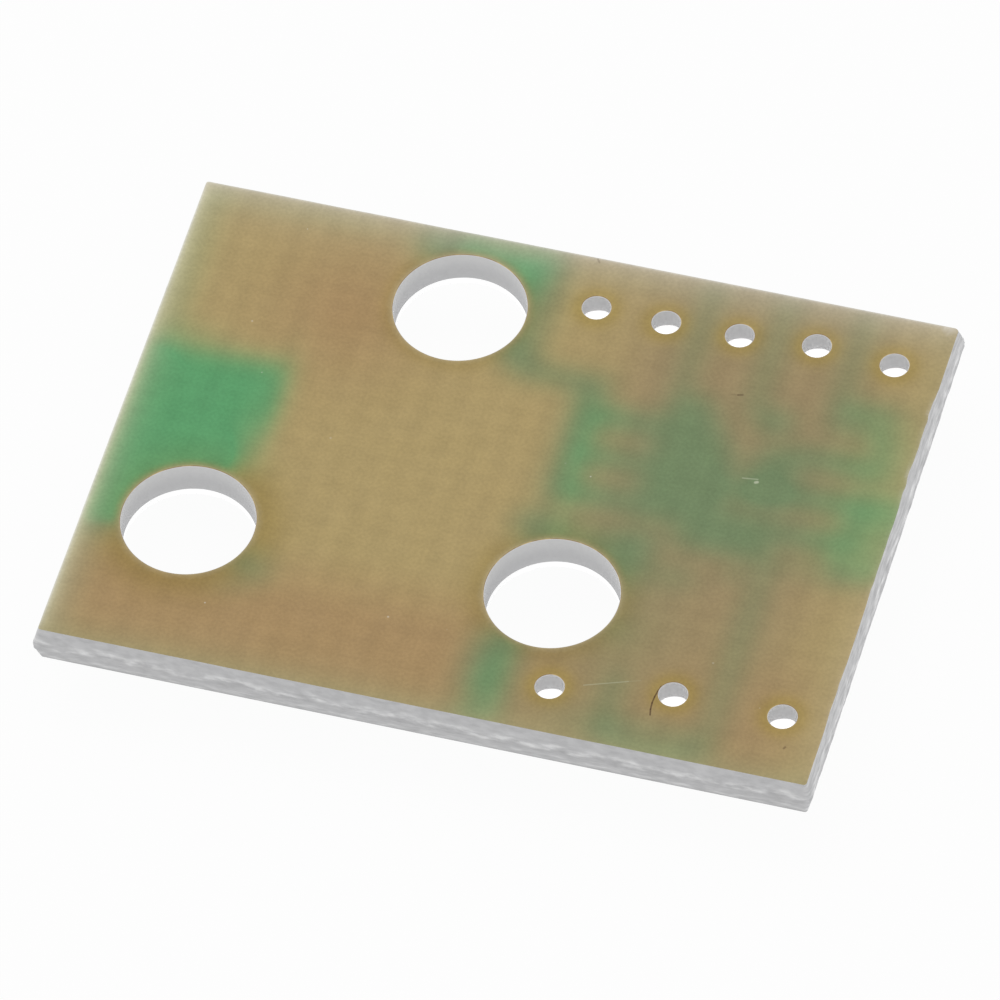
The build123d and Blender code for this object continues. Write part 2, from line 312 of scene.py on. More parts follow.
def rounded_outline(reach_x, reach_y, radii, spacing):
    """Points and outward directions round a rectangle, counter-clockwise: straight runs and arcs."""
    signs = np.array(((1, -1), (1, 1), (-1, 1), (-1, -1)))
    centres = signs * (np.array((reach_x, reach_y)) - np.array(radii)[:, None])
    points, outward = [], []
    for number in range(4):
        start_angle = radians(90 * number - 90)
        heading = np.array((cos(start_angle), sin(start_angle)))
        old_end = centres[number - 1] + radii[number - 1] * heading
        new_start = centres[number] + radii[number] * heading
        count = ceil(np.linalg.norm(new_start - old_end) / spacing)
        shares = np.arange(1, count)[:, None] / count
        points.append(old_end + shares * (new_start - old_end))
        outward.append(np.tile(heading, (count - 1, 1)))
        angles = start_angle + np.linspace(0, pi / 2, arc_points)
        turns = np.stack((np.cos(angles), np.sin(angles)), axis=1)
        points.append(centres[number] + radii[number] * turns)
        outward.append(turns)
    return np.concatenate(points), np.concatenate(outward)


def opening_distance(spots, opening):
    """How far spots lie outside an opening: from a circle's rim, or from a rectangle's nearest side."""
    offset = spots - opening["centre"]
    if "radius" in opening:
        return np.linalg.norm(offset, axis=1) - opening["radius"]
    beyond = np.abs(offset) - opening["half"]
    return np.linalg.norm(np.maximum(beyond, 0), axis=1) + np.minimum(beyond.max(axis=1), 0)


def rim_points(opening, growth=0.0):
    """Points round an opening, counter-clockwise: a circle in even steps, or a rounded rectangle."""
    if "radius" in opening:
        angles = np.arange(opening["count"]) * 2 * pi / opening["count"]
        reach = opening["radius"] + growth
        return opening["centre"] + reach * np.stack((np.cos(angles), np.sin(angles)), axis=1)
    return opening["centre"] + rounded_outline(*opening["half"], (pad_corner,) * 4, pad_spacing)[0]


print("rim points at each hole:", [len(rim_points(hole)) for hole in holes])

# %% [markdown]
# A sheet with holes
# A grid alone would leave ragged rims at the openings, and a boolean cut would leave long thin triangles.
# So each sheet gets a grid of points, plus points exactly on its outline and its rims, and Blender's
# Delaunay triangulation joins them. Triangles whose middle falls in an opening are dropped. Bands of
# quads then join the rims of two sheets.

# %% Define sheets and bands
# Grid points keep this far from the back right corner, which is rounder than the others.
corner_room = 0.4
only_inside, merge_within = 1, 1e-6


def holed_sheet(outline, openings, spacing, halo=0.0):
    """Triangles over an outline, its openings' rims, a halo ring round each and a grid clear of these."""
    keep_off = 0.6 * spacing
    low, high = outline.min(axis=0) + keep_off, outline.max(axis=0) - keep_off
    steps = np.ceil((high - low) / spacing).astype(int)
    x, y = np.meshgrid(np.linspace(low[0], high[0], steps[0]), np.linspace(low[1], high[1], steps[1]))
    grid = np.stack((x.ravel(), y.ravel()), axis=1)
    round_corner = outline.max(axis=0)
    clear = np.linalg.norm(grid - round_corner, axis=1) > corner_room
    for opening in openings:
        clear &= opening_distance(grid, opening) > keep_off + halo
    loops = [outline, *(rim_points(opening) for opening in openings)]
    halos = [rim_points(opening, halo) for opening in openings] if halo else []
    starts = np.cumsum([0, *(len(loop) for loop in loops)])
    spots = np.concatenate((*loops, *halos, grid[clear]))
    rings = [start + np.arange(len(loop)) for start, loop in zip(starts, loops)]
    edges = np.concatenate([np.stack((ring, np.roll(ring, -1)), axis=1) for ring in rings])
    vectors = [Vector(spot) for spot in spots.tolist()]
    made = delaunay_2d_cdt(vectors, edges.tolist(), [], only_inside, merge_within)
    spots, triangles = np.array([spot[:] for spot in made[0]]), np.array(made[2])
    middles = spots[triangles].mean(axis=1)
    kept = np.ones(len(triangles), dtype=bool)
    for opening in openings:
        kept &= opening_distance(middles, opening) > 0
    return spots, triangles[kept], rings


def band(rings, outwards=True):
    """Quads between neighbouring rings of point numbers, from the upper ring to the lower one."""
    upper, lower = np.array(rings[:-1]), np.array(rings[1:])
    quads = np.stack((upper, lower, np.roll(lower, -1, axis=1), np.roll(upper, -1, axis=1)), axis=-1)
    quads = quads.reshape(-1, 4)
    return quads if outwards else quads[:, ::-1]


print("a band of two rings of four points has", len(band([range(4), range(4, 8)])), "quads")

# %% [markdown]
# From arrays to an object
# A mesh in Blender is a list of points and a list of faces. They could be added one by one with bmesh,
# but whole arrays are quicker. The object stays at the origin, with its place in its points, so that a
# pattern on Object coordinates keeps its place. Values that a finish reads are stored on the points as
# attributes.

# %% Define how a piece is made
def new_piece(name, points, faces, finishes, face_finish=None, smooth_angle=30.0, **values):
    """An object at the origin, its place in its mesh, with finishes and one value per point and name."""
    mesh = bpy.data.meshes.new(name)
    mesh.from_pydata((points * mm).tolist(), [], [face for part in faces for face in part.tolist()])
    for finish in finishes:
        mesh.materials.append(finish)
    if face_finish is not None:
        mesh.polygons.foreach_set("material_index", np.asarray(face_finish, dtype=np.int32))
    mesh.polygons.foreach_set("use_smooth", np.ones(len(mesh.polygons), dtype=bool))
    mesh.set_sharp_from_angle(angle=radians(smooth_angle))
    for key, value in values.items():
        kind, part = ("FLOAT", "value") if value.ndim == 1 else ("FLOAT_COLOR", "color")
        mesh.attributes.new(key, kind, "POINT").data.foreach_set(part, value.ravel().astype(np.float32))
    mesh.validate()
    piece = bpy.data.objects.new(name, mesh)
    scene.collection.objects.link(piece)
    print(name, "has", len(mesh.vertices), "points and", len(mesh.polygons), "faces")
    return piece


print("pieces are drawn in millimetres, which are", mm, "of Blender's metres")

# %% [markdown]
# The chipped edge
# A snapped edge is ragged: small chips leave the top edge, here mostly along the right side, and worst on
# one stretch of it. One could sculpt them. Here their depth is a random curve, smoothed along the edge
# because the fibres run that way. The numbers come from one seeded source, so that each run draws the
# same chips.

# %% Work out the chips along the edge
rng = np.random.default_rng(7)
edge_spacing, squeeze = 0.08, 0.8
corner_radii = (0.08, 0.12, 0.08, 0.08)
outline, outward = rounded_outline(half_x, half_y, corner_radii, edge_spacing)
edge_count = len(outline)


def edge_ripple(rows, length):
    """Random rows round the closed edge: noise under a Gaussian of this length, squeezed into 0 to 1."""
    noise = rng.standard_normal((rows, edge_count))
    waves = np.fft.rfftfreq(edge_count, edge_spacing)
    smooth = np.fft.irfft(np.fft.rfft(noise) * np.exp(-2 * (pi * length * waves) ** 2), n=edge_count)
    smooth /= smooth.std(axis=1, keepdims=True)
    return 0.5 + 0.5 * np.tanh(squeeze * smooth)


chip_runs, chip_marks = edge_ripple(1, 0.5)[0], edge_ripple(1, 0.12)[0]
on_right = np.clip(outward[:, 0], 0, 1)
torn_middle, torn_spread = 3.0, 1.6
torn_stretch = on_right * np.exp(-0.5 * ((outline[:, 1] - torn_middle) / torn_spread) ** 2)
least_chip, right_chip, torn_chip = 0.008, 0.03, 0.03
chip_depth = least_chip + right_chip * on_right + torn_chip * torn_stretch
run_gain, run_cut = 1.9, 0.9
in_run = np.clip(run_gain * chip_runs - run_cut + torn_stretch, 0, 1)
chips = chip_depth * in_run * (0.3 + 0.7 * chip_marks)
print("edge of", edge_count, "points with chips up to", round(chips.max(), 3), "mm deep")

# %% [markdown]
# The edge, row by row
# From the face down, the edge is a sloping flank, the broken web, and a flank back in. The web bulges as
# the root of a sine, its fibres break at different depths, and at two opposite corners it stands proud. A
# bevel could give the flanks. A profile carried round the outline gives them and the fibres in one go,
# and it stays inside the CAD plate's box.

# %% Carry the profile round the edge
web_wander, web_round, speck_depth, corner_proud = 0.05, 0.025, 0.012, 0.4
fibre_share, speck_share = 0.35, 0.65
web_lift, web_drop = web_wander * edge_ripple(2, 0.45)
flank_top, flank_low = web_top + web_lift - web_round, web_low - web_drop + web_round
runs = (np.linspace(0, 1, 7), np.linspace(1, 2, 8)[1:], np.linspace(2, 3, 6)[1:])
profile_shares = np.concatenate(runs)
fibres = edge_ripple(len(profile_shares), 0.22)
grain = edge_ripple(len(profile_shares), 0.06)
proud = 1 + corner_proud * np.clip(2 * outward.prod(axis=1), 0, 1) ** 2

edge_rows = []
for share, fibre, speck in zip(profile_shares, fibres, grain):
    if share <= 1:
        level = top_level + share * (flank_top - top_level)
        reach = share * flank_run - (1 - share) * chips - speck_depth * speck * share
    elif share <= 2:
        level = flank_top + (share - 1) * (flank_low - flank_top)
        belly = np.sin((share - 1) * pi) ** 0.5
        ragged = fibre_share * fibre + speck_share * speck
        reach = flank_run + belly * (web_reach - flank_run) * ragged - speck_depth * speck
    else:
        level = flank_low + (share - 2) * (low_level - flank_low)
        reach = (3 - share) * (flank_run - speck_depth * speck)
    spots = outline + outward * (reach * proud)[:, None]
    edge_rows.append(np.column_stack((spots, np.broadcast_to(level, edge_count))))
widest = max(np.abs(row[:, 0]).max() for row in edge_rows)
print("edge profile:", len(edge_rows), "rows, out to", round(widest, 4), "mm")

# %% [markdown]
# The plate's faces
# The plate is one closed mesh: an upper face, the edge band, a lower face and a wall in each hole. The
# rims have a tiny bevel, as a drill leaves it. The upper face is dense, because its points carry what
# shows through the plate. An image could carry it too, but points need no file and no unwrapping.

# %% Build the plate's faces
rim_bevel, rim_halo = 0.025, 0.05
face_spacing, low_spacing = 0.1, 0.6
face_slot, edge_slot, wall_slot, low_slot = range(4)
top_openings = [{**hole, "radius": hole["radius"] + rim_bevel} for hole in holes]
top_spots, top_faces, top_rings = holed_sheet(edge_rows[0][:, :2], top_openings, face_spacing, rim_halo)
low_spots, low_faces, low_rings = holed_sheet(outline, holes, low_spacing)
low_start = len(top_spots)
low_rings = [ring + low_start for ring in low_rings]

point_parts = [
    np.column_stack((top_spots, np.full(len(top_spots), top_level))),
    np.column_stack((low_spots, np.full(len(low_spots), low_level))),
]
face_parts, face_slots = [top_faces, low_faces[:, ::-1] + low_start], [face_slot, low_slot]
print("upper face", len(top_faces), "triangles, lower face", len(low_faces))

# %% [markdown]
# The edge band and the hole walls
# The edge rows close the plate outside. In the holes the wall is smooth, and low down it has a pale band,
# painted white with a painted glow for the table's light below, which in the small holes sways as two
# lobes. Each wall is rings of points at chosen levels. Two close rings mark where that band starts, so
# that its border comes out sharp.

# %% Add the edge band and the hole walls
def add_rows(rows):
    """Stores rows of new points and gives their point numbers, one ring for each row."""
    start = sum(len(part) for part in point_parts)
    point_parts.append(np.concatenate(rows))
    return [start + number * len(rows[0]) + np.arange(len(rows[0])) for number in range(len(rows))]


edge_rings = [top_rings[0], *add_rows(edge_rows[1:-1]), low_rings[0]]
face_parts.append(band(edge_rings))
face_slots.append(edge_slot)

# Depth and sway of the band low in each hole that is painted white as the table's light.
wide_lit_band, small_lit_band = (0.945, 0.0), (0.597, 0.11)
lobe_turn, border_half = radians(108.8), 0.02
wall_middle, wall_foot = 0.3, 0.03
frayed_rings = []
for hole, top_ring, low_ring in zip(holes, top_rings[1:], low_rings[1:]):
    rim = rim_points(hole)
    lobes = np.sin(np.arange(len(rim)) * 2 * pi / len(rim) - lobe_turn) ** 2
    lit_band_depth, sway = wide_lit_band if hole["wide"] else small_lit_band
    border = top_level - lit_band_depth + sway * lobes
    levels = (-rim_bevel, -wall_middle, border + border_half, border - border_half, low_level + wall_foot)
    rings = add_rows([np.column_stack((rim, np.broadcast_to(level, len(rim)))) for level in levels])
    face_parts.append(band([top_ring, *rings, low_ring], outwards=False))
    face_slots.append(wall_slot)
    frayed_rings.extend((*rings[3:], low_ring))
plate_points = np.concatenate(point_parts)
face_finish = np.concatenate([np.full(len(part), slot) for part, slot in zip(face_parts, face_slots)])
print("plate has", len(face_parts) - 2, "bands, and", len(plate_points), "points in all")

# %% [markdown]
# What shows through, point by point
# A point on the upper face takes the copper below it, averaged over a small spread. Rims and edges have
# no copper to show, so they are left out of the average and take what lies next to them. The resin is
# uneven, so listed patches add to the share of copper or take from it. This is done on whole arrays
# of points.

# %% Work out how much copper shows
def eased(values, start, end):
    """Shares that rise smoothly from 0 to 1 as the values go from start to end."""
    share = np.clip((values - start) / (end - start), 0, 1)
    return share * share * (3 - 2 * share)


cell_x, cell_y = (grid_low[axis] + (np.arange(grid_shape[1 - axis]) + 0.5) * cell for axis in (0, 1))
cell_spots = np.stack(np.meshgrid(cell_x, cell_y), axis=-1).reshape(-1, 2)
edge_room, wide_room, small_room, least_weight = 0.3, 0.4, 0.05, 1e-6
shown = (np.abs(cell_spots) < np.array((half_x, half_y)) - edge_room).all(axis=1)
for hole in holes:
    shown &= opening_distance(cell_spots, hole) > (wide_room if hole["wide"] else small_room)
shown = shown.reshape(grid_shape).astype(float)


def copper_within(spread):
    """Share of copper among the cells that show, under a Gaussian of this spread."""
    weight = np.maximum(blurred(shown, spread), least_weight)
    return blurred(copper_field * shown, spread) / weight


# Each patch: its place, its reach along x and y, and what it adds to the share of copper.
uneven = [
    (-9.7, 0.0, 0.35, 6.0, -0.16), (-9.6, -2.1, 0.6, 1.1, -0.3), (-8.9, -1.6, 0.5, 0.45, -0.3),
    (-6.4, 0.7, 0.3, 1.1, -0.4), (-7.9, -1.2, 1.0, 0.45, -0.44), (-9.2, 2.7, 0.7, 0.35, -0.16),
    (-6.0, -5.1, 0.5, 0.3, -0.16), (0.0, 7.1, 9.0, 0.3, -0.07), (-1.8, 7.4, 1.1, 0.3, 0.2),
    (1.0, -7.1, 0.4, 0.35, 0.18), (3.8, -6.9, 0.9, 0.5, -0.2), (5.9, -7.2, 0.7, 0.3, 0.2),
    (4.4, -4.3, 0.9, 1.5, -0.25), (9.9, 0.3, 0.5, 0.8, 0.35), (8.7, 4.0, 0.6, 0.4, 0.28),
    (9.0, 3.0, 0.35, 0.4, 0.18), (6.6, 2.9, 0.4, 0.35, 0.3), (6.4, 1.1, 1.0, 0.4, -0.42),
    (8.3, -1.0, 0.6, 0.35, -0.25), (5.2, -2.0, 0.5, 0.4, -0.35), (6.6, -1.6, 0.3, 0.3, -0.2),
    (9.4, -0.5, 0.3, 0.3, 0.12), (4.3, -7.2, 0.6, 0.3, -0.12), (9.8, 2.8, 0.4, 1.0, -0.07),
]
copper_spread = 0.34
spots = plate_points[:, :2]
seen_copper = read_field(copper_within(copper_spread), spots)
for x, y, reach_x, reach_y, shift in uneven:
    seen_copper += shift * np.exp(-0.5 * (((spots - (x, y)) / (reach_x, reach_y)) ** 2).sum(axis=1))
print("copper shares from", round(seen_copper.min(), 2), "to", round(seen_copper.max(), 2))

# %% [markdown]
# Browns and greens
# Copper looks yellow brown through the plate, warmer along the front and in a patch at the back left.
# Towards the chip it is painted dimmer, a painted shadow where the chip keeps the table's light out. Bare
# mask is bright green, with painted shade near the chip or between much copper, where less light comes
# through. The window at the left stays bright. Colours are mixed as light values, because light through
# the plate adds up that way.

# %% Work out the colours that show through
def tint(*screen_colour):
    """Light values of a screen colour as an array."""
    return np.array(colour(*screen_colour)[:3])


def blend(share, first, second):
    """Rows of colours that go from the first to the second as each point's share goes from 0 to 1."""
    return first + np.clip(share, 0, 1)[:, None] * (second - first)


chip_shade = (1.2, 4.0)
chip_low, chip_high = (np.array(corner[:2]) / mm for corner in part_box("chip_body"))
chip_reach = np.maximum(np.abs(spots - (chip_low + chip_high) / 2) - (chip_high - chip_low) / 2, 0)
# Painted shadow of the chip: how much the colours darken near it, where it keeps the table's light out.
chip_shadow_share = np.exp(-0.5 * ((chip_reach / chip_shade) ** 2).sum(axis=1))
warm_middle, warm_spread = (-5.3, 4.4), 1.7
warm = eased(-spots[:, 1], 3.0, 5.5) * eased(-spots[:, 0], -11.0, -8.0)
warm += np.exp(-0.5 * (np.linalg.norm(spots - warm_middle, axis=1) / warm_spread) ** 2)
brown = blend(warm, tint(170, 150, 102), tint(164, 136, 94))
brown = blend(chip_shadow_share, brown, tint(152, 133, 97))

copper_around = read_field(copper_within(3 * copper_spread), spots)
# Painted shade: the green dulls near the chip and between much copper, where less light comes through.
table_shade_share = np.maximum(chip_shadow_share, eased(copper_around, 0.3, 0.65))
table_shade_share *= np.maximum(eased(spots[:, 0], -6.5, -3.0), eased(-spots[:, 1], 3.2, 4.2))
green = blend(table_shade_share, np.tile(tint(88, 154, 102), (len(spots), 1)), tint(112, 132, 94))
shown_colour = blend(seen_copper, green, brown)
print("mean brown", brown.mean(axis=0).round(3), "and mean green", green.mean(axis=0).round(3))

# %% [markdown]
# Stained rims
# Drilling heats the resin, so a halo of amber surrounds each hole. Over copper it is wide and fades as a
# bell curve. Over bare mask it is faint, with a strong narrow rim. The very rim is pale, where glass was
# laid open. A texture could be painted, but the distance from a rim is already at hand as an array.

# %% Add the amber halos
# Each stain: its strength, the distance over which it fades, and its colour.
small_stain = (0.55, 0.32, tint(156, 131, 44))
stains = {
    "mounting_hole_back": (0.42, 0.32, tint(136, 112, 30)),
    "mounting_hole_left": (0.52, 0.75, tint(130, 108, 30)),
    "mounting_hole_right": (0.42, 0.5, tint(130, 108, 30)),
}
narrow_strength, narrow_fade = 0.75, 0.15
wide_pale, small_pale, bare_glass = (0.5, 0.06), (0.15, 0.04), tint(206, 196, 168)
backed = 0.3 + 0.7 * np.clip(seen_copper, 0, 1)
for hole in holes:
    strength, fade, amber = stains.get(hole["name"], small_stain)
    from_rim = np.maximum(opening_distance(spots, hole), 0)
    stain = strength * backed * np.exp(-((from_rim / fade) ** 2))
    stain += narrow_strength * (1 - backed) * np.exp(-((from_rim / narrow_fade) ** 2))
    shown_colour = blend(stain, shown_colour, amber)
    pale_share, pale_reach = wide_pale if hole["wide"] else small_pale
    shown_colour = blend(pale_share * np.exp(-from_rim / pale_reach), shown_colour, bare_glass)
print("amber halos round", len(holes), "holes")

# %% [markdown]
# Pale edges
# Light from the table leaks into the plate at its edges, and a painted glow pales it, most at the left and
# the back. Each side has a soft painted glow of its own, and all but the front have a thin white painted
# highlight where the flank starts. Both fade with the distance from the edge as an exponential curve,
# reckoned for every point at once. On the right, the highlight follows the chips of the edge.

# %% Add the pale edges
right_run = outward[:, 0] > 0.99
chipped = np.interp(spots[:, 1], outline[right_run][:, 1], chips[right_run])
from_left, from_front = half_x + spots[:, 0], half_y + spots[:, 1]
from_right, from_back = half_x - spots[:, 0] - chipped, half_y - spots[:, 1]
# The right side's painted highlight grows with the depth of the chips.
right_highlight = 0.03 + 4.5 * chipped
right_glow = 0.24 + 0.3 * eased(-spots[:, 1], -1.0, 1.5)
highlight_fade, highlight_white = 0.035, tint(232, 231, 228)
# Each side: the distance from it, its painted highlight, its painted glow, how far the glow fades,
# and the glow's colour.
glows = (
    (from_left, 0.7, 0.9, 0.27, tint(202, 198, 165)),
    (from_back, 0.45, 0.66, 0.5, tint(202, 191, 172)),
    (from_right, right_highlight, right_glow, 0.36, tint(192, 170, 128)),
    (from_front, 0.0, 0.6, 0.43, tint(165, 155, 114)),
)
for from_edge, highlight, glow, fade, leaked in glows:
    from_edge = np.maximum(from_edge, 0)
    shown_colour = blend(glow * np.exp(-from_edge / fade), shown_colour, leaked)
    shown_colour = blend(highlight * np.exp(-from_edge / highlight_fade), shown_colour, highlight_white)
print("mean colour that shows through:", shown_colour[:len(top_spots)].mean(axis=0).round(3))

# %% [markdown]
# The finish of the bare face
# The face is satin epoxy over glass cloth. Its colours come from the plate's own points. The cloth's
# yarns cross 32 and 44 times an inch. A picture of cloth would need an unwrapped face. Instead two sine
# waves make a faint weave, and noise in two sizes makes the grain of the threads and soft clouds.

# %% Make the laminate finish
def places(tree):
    """Object coordinates in millimetres."""
    spot = node(tree, "ShaderNodeTexCoord").outputs["Object"]
    return node(tree, "ShaderNodeMapping", {"Vector": spot, "Scale": (1 / mm,) * 3}).outputs[0]


def carried(tree, name, output="Fac"):
    """Output of a value or colour that the piece's points carry."""
    return node(tree, "ShaderNodeAttribute", attribute_name=name).outputs[output]


def cloudy(tree, size, detail=3.0):
    """Number output of soft noise whose clouds are about this many millimetres across."""
    inputs = {"Vector": places(tree), "Scale": 1.0 / size, "Detail": detail}
    return node(tree, "ShaderNodeTexNoise", inputs).outputs["Fac"]


def drifting(tree, size, low=0.0, high=1.0):
    """Number output that drifts between two values with soft noise of this size."""
    return ramp(tree, cloudy(tree, size), 0.3, 0.7, low, high)


def emboss(tree, shader, height, strength, depth):
    """Links a bump to the shader's normal: the height's slopes times the depth in millimetres."""
    inputs = {"Height": height, "Strength": strength, "Distance": depth * mm}
    tree.links.new(node(tree, "ShaderNodeBump", inputs).outputs[0], shader.inputs["Normal"])


laminate_finish, tree, shader = new_finish("bare_laminate", Specular_IOR_Level=0.15)
inch = 25.4
yarn_x, yarn_y = inch / 32, inch / 44
weave_shift, grain_shift, cloud_shift = 0.025, 0.07, 0.045
place = node(tree, "ShaderNodeSeparateXYZ", {0: places(tree)})
wave_x = reckon(tree, "SINE", reckon(tree, "MULTIPLY", place.outputs["X"], 2 * pi / yarn_x))
wave_y = reckon(tree, "SINE", reckon(tree, "MULTIPLY", place.outputs["Y"], 2 * pi / yarn_y))
strong_x, weak_y = reckon(tree, "MULTIPLY", wave_x, 1.25), reckon(tree, "MULTIPLY", wave_y, 0.75)
weave = reckon(tree, "ADD", strong_x, weak_y)
thread = cloudy(tree, 0.09, 2.0)
weave_shade = ramp(tree, weave, -2.0, 2.0, 1 - weave_shift, 1 + weave_shift)
fine_shade = ramp(tree, thread, 0.2, 0.8, 1 - grain_shift, 1 + grain_shift)
cloud_shade = ramp(tree, cloudy(tree, 0.7), 0.2, 0.8, -cloud_shift, cloud_shift)
shade = reckon(tree, "MULTIPLY", weave_shade, reckon(tree, "ADD", fine_shade, cloud_shade))
face_colour = mixed(tree, 1.0, carried(tree, "shown_colour", "Color"), shade, "MULTIPLY")
tree.links.new(drifting(tree, 1.2, 0.4, 0.55), shader.inputs["Roughness"])
emboss(tree, shader, reckon(tree, "ADD", reckon(tree, "MULTIPLY", weave, 0.5), thread), 0.06, 0.01)
print("weave of", round(yarn_x, 3), "by", round(yarn_y, 3), "mm")

# %% [markdown]
# Dust and marks on the face
# Pale dust lies on the face, and handling left a hair, a dash, specks and scratches. They could be tiny
# meshes, but they are too thin to have a shape of their own. Dust is a cell pattern, where each cell
# draws the size of its grain. A mark is the distance to a line between two places, and a hair is a row of
# such lines.

# %% Add dust and marks to the laminate finish
def stroke(tree, start, end, width, strength):
    """Number output that is the strength on a line between two places on the face and 0 beside it."""
    start, end = Vector((*start, 0.0)), Vector((*end, 0.0))
    run = end - start
    kind = "ShaderNodeVectorMath"
    offset = node(tree, kind, {0: places(tree), 1: start}, operation="SUBTRACT").outputs[0]
    along = node(tree, kind, {0: offset, 1: run / run.dot(run)}, operation="DOT_PRODUCT").outputs["Value"]
    share = node(tree, "ShaderNodeClamp", {0: along}).outputs[0]
    foot = node(tree, kind, {0: run, "Scale": share}, operation="SCALE").outputs[0]
    gap = node(tree, kind, {0: offset, 1: foot}, operation="DISTANCE").outputs["Value"]
    return ramp(tree, gap, 0.25 * width, 0.75 * width, strength, 0.0)


dust = node(tree, "ShaderNodeTexVoronoi", {"Vector": places(tree), "Scale": 1.3})
dust_pick = node(tree, "ShaderNodeSeparateColor", {0: dust.outputs["Color"]})
dust_size = ramp(tree, dust_pick.outputs[0], 0.35, 1.0, 0.001, 0.055)
dust_inside = ramp(tree, reckon(tree, "DIVIDE", dust.outputs["Distance"], dust_size), 0.4, 1.0, 0.75, 0.0)
dust_share = reckon(tree, "MULTIPLY", dust_inside, dust_pick.outputs[1])
face_colour = mixed(tree, dust_share, face_colour, colour(226, 224, 214))

# Each stroke: where it starts and ends, its width and its strength.
pale_strokes = [((3.87, -5.93), (4.94, -5.54), 0.03, 0.24), ((4.94, -5.54), (5.25, -5.43), 0.03, 0.08)]
pale_strokes += [((6.04, 1.52), (6.43, 1.57), 0.04, 0.3), ((6.40, 1.46), (6.44, 1.48), 0.08, 0.55)]
hair = [(5.8, -5.48), (5.755, -5.66), (5.725, -5.85), (5.715, -6.05), (5.73, -6.25), (5.77, -6.43)]
dark_strokes = [(*pair, 0.04, 0.75) for pair in zip(hair, hair[1:])]
dark_strokes += [((5.21, 4.12), (5.32, 4.15), 0.06, 0.45), ((5.05, 4.1), (5.2, 4.12), 0.04, 0.15)]
dark_strokes += [((9.35, -6.62), (9.37, -6.58), 0.06, 0.45), ((0.47, 7.58), (0.54, 7.48), 0.05, 0.25)]
for strokes, ink in ((pale_strokes, colour(205, 210, 185)), (dark_strokes, colour(70, 45, 32))):
    for start, end, width, strength in strokes:
        face_colour = mixed(tree, stroke(tree, start, end, width, strength), face_colour, ink)
tree.links.new(face_colour, shader.inputs["Base Color"])
print("marks made of", len(pale_strokes), "pale and", len(dark_strokes), "dark strokes")

# %% [markdown]
# The finish of the snapped edge
# Broken glass fibre is pale grey, with white streaks in two bands where fibres stand loose, a darker
# foot, and lighter torn walls at the sides. The streaks run along the edge. On every side of a rectangle,
# x plus y changes evenly along the edge, so noise on that sum and on the stretched height streaks all
# four sides. An unwrapped band could do the same, but this needs no seam.

# %% Make the edge finish
def edge_noise(tree, stretch, scale, detail, roughness=0.5):
    """Noise output on x plus y, which runs along every side, and on the height times a stretch."""
    x, y, z = node(tree, "ShaderNodeSeparateXYZ", {0: places(tree)}).outputs
    spot = {0: reckon(tree, "ADD", x, y), 2: reckon(tree, "MULTIPLY", z, stretch)}
    inputs = {"Scale": scale, "Detail": detail, "Roughness": roughness}
    inputs["Vector"] = node(tree, "ShaderNodeCombineXYZ", spot).outputs[0]
    return node(tree, "ShaderNodeTexNoise", inputs).outputs["Fac"]


edge_finish, tree, shader = new_finish("snapped_fibre", Roughness=0.6, Specular_IOR_Level=0.15)
web_sway = 0.14
height = node(tree, "ShaderNodeSeparateXYZ", {0: places(tree)}).outputs["Z"]
wander = ramp(tree, edge_noise(tree, 0.0, 0.9, 3.0), 0.2, 0.8, -web_sway, web_sway)
wavy_height = reckon(tree, "SUBTRACT", height, wander)
above_web = ramp(tree, wavy_height, web_top - web_sway, web_top)
edge_colour = mixed(tree, above_web, colour(184, 184, 185), colour(193, 193, 194))

# Each band of loose fibres: its level, how far it reaches, and its strength.
fibre_bands = ((web_top - 0.03, 0.17, 0.8), (low_level + 0.2, 0.16, 0.4))
streak = edge_noise(tree, 4.0, 1.7, 4.0, 0.55)
in_streak, in_gap = ramp(tree, streak, 0.38, 0.68), ramp(tree, streak, 0.28, 0.42, 0.25, 0.0)
for band_level, band_reach, strength in fibre_bands:
    from_band = reckon(tree, "ABSOLUTE", reckon(tree, "SUBTRACT", wavy_height, band_level))
    in_band = ramp(tree, from_band, 0.02, band_reach, strength, 0.05)
    loose = reckon(tree, "MULTIPLY", in_streak, in_band)
    edge_colour = mixed(tree, loose, edge_colour, colour(232, 232, 232))
edge_colour = mixed(tree, in_gap, edge_colour, colour(155, 155, 155))

mottle = ramp(tree, edge_noise(tree, 2.2, 2.6, 3.0), 0.3, 0.7, 0.93, 1.07)
foot_shade = ramp(tree, height, low_level, low_level + 0.09, 0.86, 1.0)
edge_colour = mixed(tree, 1.0, edge_colour, reckon(tree, "MULTIPLY", mottle, foot_shade), "MULTIPLY")
torn_shade = ramp(tree, edge_noise(tree, 9.0, 1.6, 4.0), 0.32, 0.68, 1.0, 1.26)
torn_colour = mixed(tree, 1.0, edge_colour, torn_shade, "MULTIPLY")
edge_colour = mixed(tree, carried(tree, "torn"), edge_colour, torn_colour)
tree.links.new(edge_colour, shader.inputs["Base Color"])
emboss(tree, shader, streak, 0.3, 0.03)
print("loose fibres gather at", [round(level, 3) for level, _, _ in fibre_bands], "mm")
